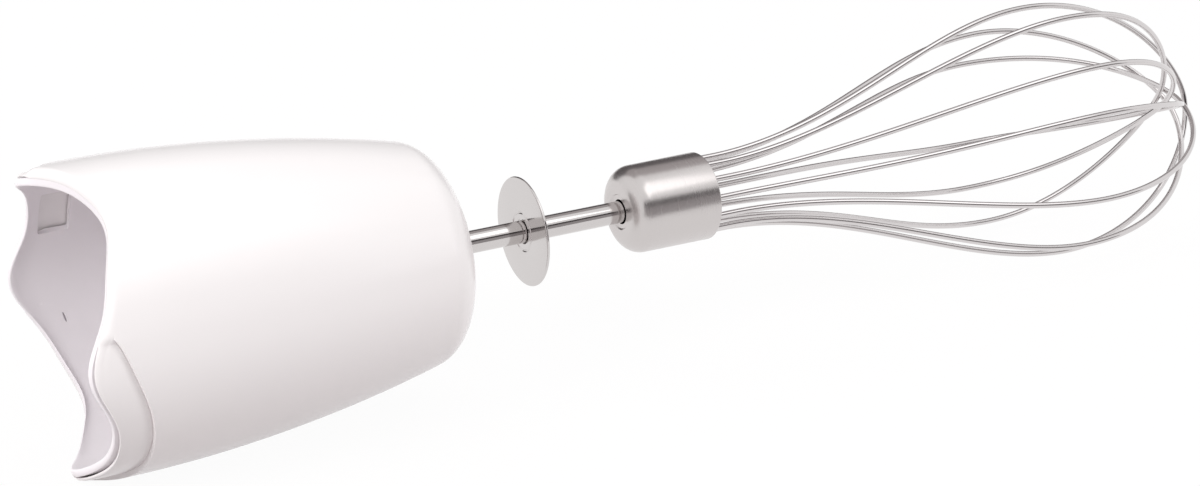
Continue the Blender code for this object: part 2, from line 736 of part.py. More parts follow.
def build_whisk_shaft(parent, material):
    low = CARRIER_Z + GAP
    high = PLUG_BACK_Z - SHAFT_SHY
    outline = [
        (0, high),
        (SHAFT_R, high),
        (SHAFT_R, low + SHAFT_CHAMFER),
        (SHAFT_R - SHAFT_CHAMFER, low),
        (0, low),
    ]
    shaft = turned("whisk_shaft", outline, SHAFT_SIDES, parent, material)
    boolean(shaft, cross_hole("shaft_cross_hole", 2 * (SHAFT_R + CUT_PAST), parent))


def build_splash_disc(parent, material):
    collar_round = (COLLAR_R - SHAFT_BORE_R) / 2
    collar_top = DISC_Z + COLLAR_HEIGHT
    outline = [
        (COLLAR_R - collar_round, collar_top),
        (COLLAR_R, collar_top - collar_round),
        (COLLAR_R, DISC_Z + DISC_THICKNESS),
        (DISC_R, DISC_Z + DISC_THICKNESS),
        (DISC_R, DISC_Z),
        (SHAFT_BORE_R, DISC_Z),
        (SHAFT_BORE_R, collar_top),
    ]
    turned("splash_disc", outline, DISC_SIDES, parent, material, closed=True)


def build_ferrule_cup(parent, material):
    """A deep-drawn cup: an open turned skin that Solidify gives its sheet thickness."""
    corner_z = FERRULE_Z + FERRULE_CORNER
    outline = [(FERRULE_R + FERRULE_FLARE, FERRULE_BACK_Z), (FERRULE_R, corner_z)]
    for step in range(1, FERRULE_CORNER_STEPS + 1):
        angle = math.pi / 2 * step / FERRULE_CORNER_STEPS
        r = FERRULE_R - FERRULE_CORNER * (1 - math.cos(angle))
        z = corner_z - FERRULE_CORNER * math.sin(angle)
        outline.append((r, z))
    outline.append((SHAFT_BORE_R, FERRULE_Z))
    cup = turned("ferrule_cup", outline, FERRULE_SIDES, parent, material)
    wall = cup.modifiers.new("sheet", "SOLIDIFY")
    wall.thickness = FERRULE_WALL
    wall.offset = -1
    wall.use_even_offset = True


def build_ferrule_plug(parent, material):
    """The core that fills the cup, with a groove for each wire end round its edge."""
    ends = 2 * len(LOOP_RATIOS)
    groove_r = WIRE_D / 2 + GAP
    spread = math.acos((WIRE_ROOT_R**2 + PLUG_R**2 - groove_r**2) / (2 * WIRE_ROOT_R * PLUG_R))
    mouth = math.atan2(PLUG_R * math.sin(spread), PLUG_R * math.cos(spread) - WIRE_ROOT_R)
    points = []
    for end in range(ends):
        centre = math.radians(WIRE_TURN) + 2 * math.pi * end / ends
        for step in range(GROOVE_POINTS):
            around = -mouth - 2 * (math.pi - mouth) * step / (GROOVE_POINTS - 1)
            out = WIRE_ROOT_R + groove_r * math.cos(around)
            aside = groove_r * math.sin(around)
            x = out * math.cos(centre) - aside * math.sin(centre)
            y = out * math.sin(centre) + aside * math.cos(centre)
            points.append((x, y))
        land = centre + math.pi / ends
        points.append((PLUG_R * math.cos(land), PLUG_R * math.sin(land)))
    height = PLUG_BACK_Z - PLUG_Z
    loops = [points, circle_points(SHAFT_BORE_R, SHAFT_SIDES)]
    plug = flat_outline("ferrule_plug", loops, height, parent, material)
    plug.location = (0, 0, PLUG_Z + height / 2)


def wire_side(wire, phase, sign):
    """One side of a loop, from its end in the ferrule to the tip, as (x, y, z) points."""
    reach, swell_a, swell_b, turn, lean, offset = wire
    swell = swell_a if sign > 0 else swell_b
    pull = ROOT_PULL_RATIO * SWELL_LENGTH
    run = bezier(
        (WIRE_ROOT_Z, WIRE_ROOT_R),
        (WIRE_ROOT_Z + pull, WIRE_ROOT_R + ROOT_SLOPE_RATIO * pull),
        (WIDE_Z - WIDE_IN_RATIO * SWELL_LENGTH, WIDE_R),
        (WIDE_Z, WIDE_R),
        WIRE_RUN_POINTS,
    )
    cap = bezier(
        (WIDE_Z, WIDE_R),
        (WIDE_Z + WIDE_OUT_RATIO * CAP_LENGTH, WIDE_R),
        (TIP_Z, TIP_PULL_RATIO * WIDE_R),
        (TIP_Z, 0),
        WIRE_CAP_POINTS,
    )
    points = [wire_point(PLUG_Z + GAP, WIRE_ROOT_R, phase, sign, 0, 0)]
    for height, radius in np.vstack([run, cap[1:]]):
        opened = smooth((height - WIRE_ROOT_Z) / SWELL_LENGTH)
        capped = smooth((height - WIDE_Z) / CAP_LENGTH)
        out = radius * (1 + (swell - 1) * opened)
        aside = WIDE_R * (lean * opened * (1 - capped) + offset * capped)
        far = height + CAP_LENGTH * reach * capped
        points.append(wire_point(far, out, phase, sign, turn * opened, aside))
    return points


def wire_point(height, radius, phase, sign, turn, aside):
    angle = math.radians(phase + turn)
    x = sign * radius * math.cos(angle) - aside * math.sin(angle)
    y = sign * radius * math.sin(angle) + aside * math.cos(angle)
    return (x, y, height)


def loop_points(number):
    phase = WIRE_TURN + 180 * number / len(LOOP_RATIOS)
    first = wire_side(LOOP_RATIOS[number], phase, 1)
    second = wire_side(LOOP_RATIOS[number], phase, -1)
    return first + second[-2::-1]


def build_wire_loops(parent, material):
    for number in range(len(LOOP_RATIOS)):
        points = loop_points(number)
        curve = bpy.data.curves.new(f"wire_loop_{number + 1}", "CURVE")
        curve.dimensions = "3D"
        curve.bevel_depth = WIRE_D / 2
        curve.bevel_resolution = WIRE_BEVEL_STEPS
        curve.use_fill_caps = True
        spline = curve.splines.new("POLY")
        spline.points.add(len(points) - 1)
        for target, point in zip(spline.points, points):
            target.co = (*point, 1)
        add_object(curve.name, curve, parent, material)


def laid_frame():
    """The frame that lays the drawing along +X, resting on the cover's widest facets."""
    tip = max(max(p[2] for p in loop_points(n)) for n in range(len(LOOP_RATIOS))) + WIRE_D / 2
    mouth = min(rim_wave(360 * (side + 0.5) / COVER_SIDES) for side in range(COVER_SIDES)) - RIM_ROUND
    widest = max(r for z, r in cover_outline(0, RUN_POINTS, NOSE_POINTS))
    lift = widest * math.cos(math.pi / COVER_SIDES)
    turn = (math.pi, -math.pi / 2, 0)
    return add_empty("lying_frame", None, (-(tip + mouth) / 2, 0, lift), turn)


clear_scene()
parts = new_collection(PARTS)
cutters = new_collection("cutters")

white = make_material("white_gloss_plastic", (0.90, 0.89, 0.88), 0.25, 0.0)
white_inner = make_material("white_satin_plastic", (0.80, 0.76, 0.78), 0.45, 0.0)
case_plastic = make_material("grey_gear_case_plastic", (0.55, 0.55, 0.56), 0.5, 0.0)
gear_plastic = make_material("natural_gear_plastic", (0.86, 0.84, 0.76), 0.45, 0.0)
dark_plastic = make_material("black_drive_plastic", (0.05, 0.05, 0.05), 0.4, 0.0)
steel = make_material("bright_steel", (0.62, 0.60, 0.59), 0.12, 1.0)
satin_steel = make_material("satin_drawn_steel", (0.60, 0.57, 0.56), 0.3, 1.0)
bronze = make_material("sintered_bronze", (0.55, 0.38, 0.18), 0.5, 1.0)
rubber = make_material("black_rubber", (0.03, 0.03, 0.03), 0.7, 0.0)

housing = laid_frame()
whisk_axis = add_empty("whisk_axis", housing)
drive_axis = add_empty("drive_axis", housing)

build_outer_cover(housing, white)
build_inner_sleeve(housing, white_inner)
build_gear_lid(housing, case_plastic)
build_gear_case(housing, case_plastic)
build_screws(housing, steel)
build_ring_gear(housing, gear_plastic)
build_bearings(housing, bronze, rubber, dark_plastic)
build_drive(drive_axis, dark_plastic, steel)
build_planets(whisk_axis, gear_plastic, steel)
build_carrier(whisk_axis, case_plastic)
build_cross_pin(whisk_axis, steel)
build_whisk_shaft(whisk_axis, steel)
build_splash_disc(whisk_axis, steel)
build_ferrule_cup(whisk_axis, satin_steel)
build_ferrule_plug(whisk_axis, case_plastic)
build_wire_loops(whisk_axis, steel)
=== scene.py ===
import json
import math

import bmesh
import bpy
import numpy as np
from mathutils import Matrix, Vector


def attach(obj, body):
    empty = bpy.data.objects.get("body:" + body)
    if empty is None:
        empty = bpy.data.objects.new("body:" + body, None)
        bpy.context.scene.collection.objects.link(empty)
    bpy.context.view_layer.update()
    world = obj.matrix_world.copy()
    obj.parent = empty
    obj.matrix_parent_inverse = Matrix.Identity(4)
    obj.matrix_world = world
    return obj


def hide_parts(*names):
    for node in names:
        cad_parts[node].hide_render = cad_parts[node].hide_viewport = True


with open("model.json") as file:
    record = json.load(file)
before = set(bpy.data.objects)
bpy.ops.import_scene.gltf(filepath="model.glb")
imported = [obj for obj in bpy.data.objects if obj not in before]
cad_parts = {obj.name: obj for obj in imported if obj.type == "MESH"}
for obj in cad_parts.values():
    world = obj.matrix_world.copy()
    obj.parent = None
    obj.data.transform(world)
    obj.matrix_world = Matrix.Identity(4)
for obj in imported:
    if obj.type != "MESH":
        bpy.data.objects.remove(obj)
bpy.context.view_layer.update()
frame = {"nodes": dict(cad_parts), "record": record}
print("frame loaded")

# Where the drawing lies in the frame: its spin axis runs along +X at this height
laying = {
    "middleStation": 0.1456899,  # counted from the mouth, the station over the frame's origin
    "axisHeight": 0.0325249,
}
drawingToFrame = Matrix((
    (0, 0, 1, -laying["middleStation"]),
    (0, -1, 0, 0),
    (1, 0, 0, laying["axisHeight"]),
    (0, 0, 0, 1),
))


def toLinear(hexColour):
    channels = [int(hexColour[i:i + 2], 16) / 255 for i in (1, 3, 5)]
    linear = [c / 12.92 if c <= 0.04045 else ((c + 0.055) / 1.055) ** 2.4 for c in channels]
    return (*linear, 1.0)


def addNode(tree, kind, inputs=None, **settings):
    node = tree.nodes.new(kind)
    for name, value in settings.items():
        setattr(node, name, value)
    for socket, value in (inputs or {}).items():
        if isinstance(value, bpy.types.NodeSocket):
            tree.links.new(value, node.inputs[socket])
        else:
            node.inputs[socket].default_value = value
    return node.outputs[0] if node.outputs else node


def newPiece(name, mesh, material=None):
    piece = bpy.data.objects.new(name, mesh)
    bpy.context.scene.collection.objects.link(piece)
    if material:
        mesh.materials.clear()
        mesh.materials.append(material)
    return piece


def plainMeshOf(source, name):
    bpy.context.view_layer.update()
    graph = bpy.context.evaluated_depsgraph_get()
    mesh = bpy.data.meshes.new_from_object(source.evaluated_get(graph))
    mesh.name = name
    return mesh


def finishMesh(mesh, sharpDegrees=30):
    worker = bmesh.new()
    worker.from_mesh(mesh)
    bmesh.ops.remove_doubles(worker, verts=worker.verts, dist=1e-6)
    bmesh.ops.dissolve_degenerate(worker, edges=worker.edges, dist=1e-7)
    bmesh.ops.recalc_face_normals(worker, faces=worker.faces)
    worker.to_mesh(mesh)
    worker.free()
    mesh.shade_smooth()
    mesh.set_sharp_from_angle(angle=math.radians(sharpDegrees))


def openTree(name, inputs):
    # A Geometry Nodes tree with named inputs, each given with its kind of socket
    tree = bpy.data.node_groups.new(name, "GeometryNodeTree")
    for label, kind in {"Geometry": "Geometry", **inputs, "Finish": "Material"}.items():
        tree.interface.new_socket(label, in_out="INPUT", socket_type=f"NodeSocket{kind}")
    tree.interface.new_socket("Geometry", in_out="OUTPUT", socket_type="NodeSocketGeometry")
    return tree, tree.nodes.new("NodeGroupInput").outputs


def closeTree(tree, geometry, finish):
    real = addNode(tree, "GeometryNodeRealizeInstances", {"Geometry": geometry})
    done = addNode(tree, "GeometryNodeSetMaterial", {"Geometry": real, "Material": finish})
    addNode(tree, "NodeGroupOutput", {0: done})
    return tree


def setInputs(modifier, values):
    for item in modifier.node_group.interface.items_tree:
        if item.item_type == "SOCKET" and item.in_out == "INPUT" and item.name in values:
            modifier[item.identifier] = values[item.name]


def bezier(p0, p1, p2, p3, count):
    t = np.linspace(0, 1, count)[:, None]
    p0, p1, p2, p3 = (np.array(p, dtype=float) for p in (p0, p1, p2, p3))
    return (1 - t) ** 3 * p0 + 3 * t * (1 - t) ** 2 * p1 + 3 * t**2 * (1 - t) * p2 + t**3 * p3


def smoothStep(x):
    x = min(max(x, 0.0), 1.0)
    return x * x * (3 - 2 * x)


def filleted(corners, steps):
    # Corners are (radius, station, fillet); each one is rounded into the closed outline
    points = []
    count = len(corners)
    for i, (r, z, fillet) in enumerate(corners):
        here = np.array((r, z))
        if not fillet:
            points.append(here)
            continue
        before = np.array(corners[i - 1][:2]) - here
        after = np.array(corners[(i + 1) % count][:2]) - here
        a = before / np.linalg.norm(before)
        b = after / np.linalg.norm(after)
        half = math.acos(max(-1, min(1, float(a @ b)))) / 2
        reach = fillet / math.tan(half)
        centre = here + (a + b) / np.linalg.norm(a + b) * fillet / math.sin(half)
        start = here + a * reach - centre
        end = here + b * reach - centre
        sweep = math.pi - 2 * half
        turnWay = math.copysign(1, start[0] * end[1] - start[1] * end[0])
        for k in range(steps + 1):
            angle = turnWay * sweep * k / steps
            points.append(centre + np.array((
                start[0] * math.cos(angle) - start[1] * math.sin(angle),
                start[0] * math.sin(angle) + start[1] * math.cos(angle),
            )))
    return points


def turnedPiece(name, outline, sides, material, sharpDegrees=30):
    # Turns a closed (radius, station) outline about the spin axis and lays it in the frame
    mesh = bpy.data.meshes.new(name)
    verts = []
    faces = []
    count = len(outline)
    for i in range(sides):
        angle = 2 * math.pi * i / sides
        for r, z in outline:
            verts.append((r * math.cos(angle), r * math.sin(angle), z))
        for k in range(count):
            here, there = i * count, (i + 1) % sides * count
            faces.append((here + k, there + k, there + (k + 1) % count, here + (k + 1) % count))
    mesh.from_pydata(verts, [], faces)
    finishMesh(mesh, sharpDegrees)
    mesh.transform(drawingToFrame)
    return newPiece(name, mesh, material)


# Materials
def newMaterial(name, hexColour, roughness, metallic=0.0, **sockets):
    material = bpy.data.materials.new(name)
    material.use_nodes = True
    tree = material.node_tree
    shader = tree.nodes["Principled BSDF"]
    shader.inputs["Base Color"].default_value = toLinear(hexColour)
    shader.inputs["Roughness"].default_value = roughness
    shader.inputs["Metallic"].default_value = metallic
    for socket, value in sockets.items():
        shader.inputs[socket].default_value = value
    material.diffuse_color = toLinear(hexColour)
    return material, tree, shader


def addGrain(tree, shader, perMetre, between, stretch=(1, 1, 1), height=0):
    # Noise that moves the roughness between two ends, and lifts the surface by a height in metres
    place = tree.nodes.new("ShaderNodeTexCoord").outputs["Object"]
    mapped = addNode(tree, "ShaderNodeMapping", {"Vector": place, "Scale": stretch})
    grain = {"Vector": mapped, "Scale": perMetre, "Detail": 3.0}
    noise = addNode(tree, "ShaderNodeTexNoise", grain)
    ends = {"Value": noise, "To Min": between[0], "To Max": between[1]}
    tree.links.new(addNode(tree, "ShaderNodeMapRange", ends), shader.inputs["Roughness"])
    if height:
        lifted = addNode(tree, "ShaderNodeBump", {"Height": noise, "Distance": height})
        tree.links.new(lifted, shader.inputs["Normal"])


def makeGlossWhite():
    # ABS, injection moulded in a polished tool: bright white with a soft broad sheen, and a
    # faint unevenness of about 12 mm from the way the wall shrank
    material, tree, shader = newMaterial("glossWhiteAbs", "#f6f2f2", roughness=0.24, IOR=1.53)
    addGrain(tree, shader, perMetre=80.0, between=(0.20, 0.28), height=0.00004)
    return material


def makeSatinWhite():
    # ABS, injection moulded in a finely eroded tool: the same white without the shine, a little
    # cooler, with a grit of about 0.4 mm
    material, tree, shader = newMaterial("satinWhiteAbs", "#f8f3f6", roughness=0.42, IOR=1.53)
    addGrain(tree, shader, perMetre=2500.0, between=(0.36, 0.48), height=0.000004)
    return material


def makePolishedSteel():
    # Stainless steel, ground and polished: nearly a mirror, with hair-fine turning marks round
    # the axis, drawn 0.5 mm apart because the real ones are too fine to show
    material, tree, shader = newMaterial(
        "polishedStainless", "#d0cccb", roughness=0.10, metallic=1.0)
    addGrain(tree, shader, perMetre=300.0, between=(0.07, 0.13), stretch=(6.0, 0.4, 0.4))
    return material


def makeWireSteel():
    # Stainless steel, drawn and tumbled bright: sharp light and dark lines along each wire, with
    # drawing marks of about 1 by 7 mm, because the real ones are too fine to show
    material, tree, shader = newMaterial(
        "drawnWireStainless", "#d5d1d1", roughness=0.06, metallic=1.0)
    addGrain(tree, shader, perMetre=900.0, between=(0.04, 0.09), stretch=(0.15, 1, 1))
    return material


def makeSatinSteel():
    # Stainless steel, deep drawn and polished on a lathe: broad dark and light bands blurred by
    # fine lines that run round the cup, drawn about 0.3 mm apart
    material, tree, shader = newMaterial("satinStainless", "#cfcac9", roughness=0.26, metallic=1.0)
    addGrain(tree, shader, perMetre=400.0, between=(0.20, 0.31), stretch=(8.0, 0.25, 0.25))
    return material


def makePlainPlastic(name, hexColour, roughness):
    # Moulded technical plastic: plain and matt, with a grit of about 0.5 mm
    material, tree, shader = newMaterial(name, hexColour, roughness, IOR=1.5)
    spread = (roughness - 0.06, roughness + 0.06)
    addGrain(tree, shader, perMetre=2000.0, between=spread, height=0.000004)
    return material


def makePlainSteel():
    # Zinc-plated steel, turned: grey and slightly blurred, with marks round the part, drawn
    # about 0.5 mm apart
    material, tree, shader = newMaterial("turnedSteel", "#bdbab6", roughness=0.3, metallic=1.0)
    addGrain(tree, shader, perMetre=500.0, between=(0.24, 0.38), stretch=(4, 1, 1), height=0.000002)
    return material


def makeBronze():
    # Bronze, pressed from powder and sintered: brown-gold and dull, with pores of about 0.3 mm
    material, tree, shader = newMaterial("sinteredBronze", "#a8844f", roughness=0.45, metallic=1.0)
    addGrain(tree, shader, perMetre=3000.0, between=(0.38, 0.55), height=0.00001)
    return material


def makeRubber():
    # Nitrile rubber, moulded: black with a dull bloom in spots of about 0.7 mm
    material, tree, shader = newMaterial("nitrileRubber", "#1d1c1c", roughness=0.62)
    addGrain(tree, shader, perMetre=1500.0, between=(0.55, 0.7), height=0.000005)
    return material


glossWhite = makeGlossWhite()
satinWhite = makeSatinWhite()
polishedSteel = makePolishedSteel()
wireSteel = makeWireSteel()
satinSteel = makeSatinSteel()
plainSteel = makePlainSteel()
bronze = makeBronze()
rubber = makeRubber()
casePlastic = makePlainPlastic("glassFilledNylon", "#a2a2a3", 0.5)
gearPlastic = makePlainPlastic("naturalAcetal", "#e9e5d8", 0.4)
darkPlastic = makePlainPlastic("blackAcetal", "#262626", 0.4)
cadFinish = {
    "outer_cover": glossWhite,
    "inner_sleeve": satinWhite,
    "case_plastic": casePlastic,
    "gear_plastic": gearPlastic,
    "dark_plastic": darkPlastic,
    "plain_steel": plainSteel,
    "polished_steel": polishedSteel,
    "satin_steel": satinSteel,
    "bronze": bronze,
    "seal_rubber": rubber,
}
slotOf = {entry["node"]: entry["material_slot"] for entry in frame["record"]["subparts"]}
for nodeName, node in frame["nodes"].items():
    for materialSlot in node.material_slots:
        materialSlot.material = cadFinish[slotOf[nodeName]]
print("materials made")


# Housing: a curve of radius over station, bent round the axis and waved at the mouth
housing = {
    "mouthRadius": 0.03222,
    "mouthFlare": 0.052,  # slope of the outline at the mouth
    "mouthHandle": 0.0277,
    "shoulderStation": 0.0763,
    "shoulderRadius": 0.0245,
    "shoulderTaper": -0.246,
    "shoulderHandle": 0.018,
    "noseStation": 0.0848,
    "noseFlatRadius": 0.00865,
    "noseFullness": 0.0079,  # handles of the nose's curve, across and along the axis
    "noseSpring": 0.0051,
    "noseHoleRadius": 0.0063,
    "noseHoleEdge": 0.0003,
    "coverWall": 0.0016,
    "sleeveGap": 0.00035,
    "sleeveWall": 0.0012,
    "seatStation": 0.0410,
    "seatThickness": 0.0015,
    "seatBoreRadius": 0.0210,
    "seatFillet": 0.0008,
    "screwCircle": 0.02458,
    "screwHole": 0.0017,
    "rimRound": 0.0004,  # how far the rim rounds over in front
    "rimRoll": 0.0018,  # how far its outer edge rolls back
    "ridgePower": 0.8,  # below 1 the ridges are a little squarer than round
    "columns": 288,
    "outsidePoints": (40, 24),  # along the run and along the nose
    "insidePoints": (30, 16),
    "finePoints": (80, 2),  # for reading a radius
}
# Waves round the mouth: how many to a turn, height, and degrees by which each one is late
rimWaves = (
    (1, 0.00049, 219.7),
    (2, 0.00294, 10.1),
    (3, 0.00033, 269.1),
    (4, 0.00281, 9.7),
    (5, 0.00022, 245.3),
    (6, 0.00073, 198.8),
    (8, 0.00013, 263.2),
    (10, 0.00033, 27.0),
)
rimShape = {
    "Set back": 0.00135,  # of the whole rim, to stay in the CAD box
    "Wave turn": math.radians(30),  # where the waves are counted from
    "Wave fade": 0.020,  # station at which they have died away
    "Scoop turn": math.radians(120),  # middle of one scoop; the other is half a turn on
    "Scoop half angle": math.radians(47),
    "Scoop edge": 0.06,  # share of the half angle in which a scoop gets its depth
    "Lip growth": 4.75,  # how soon its lip has its height, from its ends inward
}
for times, height, late in rimWaves:
    rimShape[f"Wave of {times}"] = height
    rimShape[f"Late {times}"] = math.radians(late)
scoop = {
    "length": 0.0080,
    "depth": 0.0009,
    "rimStep": 0.0009,  # the rim stands back by this
    "grooveOut": 0.0003,  # and out from the sleeve by this
    "lip": 0.0004,
    "edgeLength": 0.0002,
    "step": 0.00016,  # length of the steep wall behind the floor
    "crease": 0.0002,  # extra depth at the wall's foot
    "easeLength": 0.002,  # the cover's rows behind the wall even out over this
    "easeBack": 0.1,
    "clearBehind": 0.0025,
}
# The seam between cover and sleeve: all but shut round the mouth, opening to a groove at a scoop
seam = {
    "gap": 0.00004,
    "edge": 0.0001,
    "back": 0.0016,  # how deep the cover closes on the sleeve
    "rebate": 0.0003,  # the sleeve is this much thinner at a scoop
    "rebateLength": 0.0045,
    "spread": 1.0,
}
rowAttributes = ("scoopDepth", "rimStep", "scoopRise", "lipStep")

# Sums that place each corner of a shell: result, operation, and what goes in
shellSteps = [
    ("gridRows", "ADD", "rowCount", 1.0),
    ("gridColumns", "ADD", "Columns", 1.0),
    ("along", "MODULO", "index", "gridRows"),
    ("row", "MODULO", "along", "rowCount"),
    ("past", "ADD", "index", 0.5),
    ("columnPart", "DIVIDE", "past", "gridRows"),
    ("column", "FLOOR", "columnPart"),
    ("turnPart", "DIVIDE", "column", "Columns"),
    ("turn", "MULTIPLY", "turnPart", 2 * math.pi),
    # nearness to the middle of the closer thumb scoop
    ("fromScoop", "SUBTRACT", "turn", "Scoop turn"),
    ("moved", "ADD", "fromScoop", math.pi / 2),
    ("wrapped", "FLOORED_MODULO", "moved", math.pi),
    ("signed", "SUBTRACT", "wrapped", math.pi / 2),
    ("across", "ABSOLUTE", "signed"),
    ("acrossPart", "DIVIDE", "across", "Scoop half angle"),
    ("outward", "MINIMUM", "acrossPart", 1.0),
    ("inward", "SUBTRACT", 1.0, "outward"),
    ("edgePart", "DIVIDE", "inward", "Scoop edge"),
    ("edge", "MINIMUM", "edgePart", 1.0),
    ("edgeSquare", "MULTIPLY", "edge", "edge"),
    ("edgeEase", "MULTIPLY_ADD", "edge", -2.0, 3.0),
    ("felt", "MULTIPLY", "edgeSquare", "edgeEase"),
    ("outwardSquare", "MULTIPLY", "outward", "outward"),
    ("archSquare", "SUBTRACT", 1.0, "outwardSquare"),
    ("arch", "SQRT", "archSquare"),
    ("archGrown", "MULTIPLY", "arch", "Lip growth"),
    ("risen", "MINIMUM", "archGrown", 1.0),
    ("top", "MULTIPLY_ADD", "scoopRise", "arch", "station"),
    ("swing", "SUBTRACT", "turn", "Wave turn"),
]
sumSoFar = "Set back"
for times, *_ in rimWaves:
    shellSteps += [
        (f"many{times}", "MULTIPLY", "swing", float(times)),
        (f"late{times}", "SUBTRACT", f"many{times}", f"Late {times}"),
        (f"swell{times}", "COSINE", f"late{times}"),
        (f"sum{times}", "MULTIPLY_ADD", f"swell{times}", f"Wave of {times}", sumSoFar),
    ]
    sumSoFar = f"sum{times}"
shellSteps += [
    # the waves die away behind the mouth
    ("depthPart", "DIVIDE", "top", "Wave fade"),
    ("left", "SUBTRACT", 1.0, "depthPart"),
    ("fade", "MAXIMUM", "left", 0.0),
    ("fadeSquare", "MULTIPLY", "fade", "fade"),
    ("waved", "MULTIPLY_ADD", sumSoFar, "fadeSquare", "top"),
    ("stepped", "MULTIPLY_ADD", "rimStep", "arch", "waved"),
    ("z", "MULTIPLY_ADD", "lipStep", "risen", "stepped"),
    # rows that climb over a scoop keep to the cover's outline
    ("climb", "SUBTRACT", "top", "station"),
    ("topSquare", "MULTIPLY", "top", "top"),
    ("stationSquare", "MULTIPLY", "station", "station"),
    ("bulge", "SUBTRACT", "topSquare", "stationSquare"),
    ("flared", "MULTIPLY_ADD", "climb", "Flare", "radius"),
    ("curved", "MULTIPLY_ADD", "bulge", "Flare curve", "flared"),
    ("dip", "MULTIPLY", "scoopDepth", "felt"),
    ("out", "SUBTRACT", "curved", "dip"),
    ("cosine", "COSINE", "turn"),
    ("sine", "SINE", "turn"),
    ("x", "MULTIPLY", "out", "cosine"),
    ("y", "MULTIPLY", "out", "sine"),
]


def coverOutline(depth, runPoints, nosePoints):
    h = housing
    beforeShoulder = h["shoulderRadius"] - h["shoulderTaper"] * h["shoulderHandle"]
    afterShoulder = h["shoulderRadius"] + h["shoulderTaper"] * h["noseSpring"]
    run = bezier(
        (0, h["mouthRadius"]),
        (h["mouthHandle"], h["mouthRadius"] + h["mouthFlare"] * h["mouthHandle"]),
        (h["shoulderStation"] - h["shoulderHandle"], beforeShoulder),
        (h["shoulderStation"], h["shoulderRadius"]),
        runPoints,
    )
    nose = bezier(
        (h["shoulderStation"], h["shoulderRadius"]),
        (h["shoulderStation"] + h["noseSpring"], afterShoulder),
        (h["noseStation"], h["noseFlatRadius"] + h["noseFullness"]),
        (h["noseStation"], h["noseFlatRadius"]),
        nosePoints,
    )
    points = np.vstack([run, nose[1:]])
    along = np.gradient(points, axis=0)
    along[-1] = (0, -1)
    along /= np.linalg.norm(along, axis=1)[:, None]
    return points - depth * np.column_stack([-along[:, 1], along[:, 0]])


def coverRadius(station, depth=0.0):
    fine = housing["finePoints"]
    run = coverOutline(depth, *fine)[:fine[0]]
    return float(np.interp(station, run[:, 0], run[:, 1]))


def shellProfile(name, rows):
    # Rows are (station, radius, then the row attributes), kept as points with those attributes
    mesh = bpy.data.meshes.new(name)
    mesh.from_pydata([(r, 0, z) for z, r, *_ in rows], [], [])
    for column, attribute in enumerate(rowAttributes, 2):
        layer = mesh.attributes.new(attribute, "FLOAT", "POINT")
        layer.data.foreach_set("value", [row[column] for row in rows])
    return newPiece(name, mesh)


def buildShellTree():
    numbers = {name: "Float" for name in [*rimShape, "Flare", "Flare curve"]}
    tree, given = openTree("wavedShell", {"Columns": "Int", **numbers})
    known = {socket.name: socket for socket in given}
    known["index"] = addNode(tree, "GeometryNodeInputIndex")
    profile = {"Geometry": given["Geometry"]}
    known["rowCount"] = addNode(tree, "GeometryNodeAttributeDomainSize", profile)
    samples = []
    for attribute in ("position", *rowAttributes):
        kind = "FLOAT_VECTOR" if attribute == "position" else "FLOAT"
        named = {"Name": attribute}
        value = addNode(tree, "GeometryNodeInputNamedAttribute", named, data_type=kind)
        picked = {**profile, "Value": value}
        known[attribute] = addNode(tree, "GeometryNodeSampleIndex", picked, data_type=kind)
        samples.append(known[attribute].node)
    split = addNode(tree, "ShaderNodeSeparateXYZ", {"Vector": known["position"]}).node
    known["radius"] = split.outputs["X"]
    known["station"] = split.outputs["Z"]
    for result, operation, *terms in shellSteps:
        inputs = {i: known[term] if isinstance(term, str) else term for i, term in enumerate(terms)}
        known[result] = addNode(tree, "ShaderNodeMath", inputs, operation=operation)
    for sample in samples:
        tree.links.new(known["row"], sample.inputs["Index"])
    size = {"Vertices X": known["gridColumns"], "Vertices Y": known["gridRows"]}
    grid = addNode(tree, "GeometryNodeMeshGrid", size)
    corner = {"X": known["x"], "Y": known["y"], "Z": known["z"]}
    place = addNode(tree, "ShaderNodeCombineXYZ", corner)
    bent = addNode(tree, "GeometryNodeSetPosition", {"Geometry": grid, "Position": place})
    joined = addNode(tree, "GeometryNodeMergeByDistance", {"Geometry": bent, "Distance": 1e-6})
    return closeTree(tree, joined, given["Finish"])


shellTree = buildShellTree()


def bendShell(name, rows, material, **changes):
    source = shellProfile(name + "Profile", rows)
    modifier = source.modifiers.new("wavedShell", "NODES")
    modifier.node_group = shellTree
    near = coverOutline(0, *housing["finePoints"])[:12]  # the part that the scoops reach
    curve, flare, _ = np.polyfit(near[:, 0], near[:, 1], 2)
    values = {**rimShape, **changes, "Columns": housing["columns"], "Finish": material}
    values["Flare"] = float(flare)
    values["Flare curve"] = float(curve)
    setInputs(modifier, values)
    mesh = plainMeshOf(source, name)
    bpy.data.objects.remove(source)
    finishMesh(mesh, 40)
    return mesh


def plainRows(points):
    # Rows that neither a scoop nor the seam changes
    return [(z, r, 0, 0, 0, 0) for z, r in points]


def ridge(degrees):
    # How far across and how far up a rounded ridge is, each from 0 to 1
    angle = math.radians(degrees)
    power = housing["ridgePower"]
    across = (1 - math.copysign(abs(math.cos(angle)) ** power, math.cos(angle))) / 2
    return across, math.sin(angle) ** power


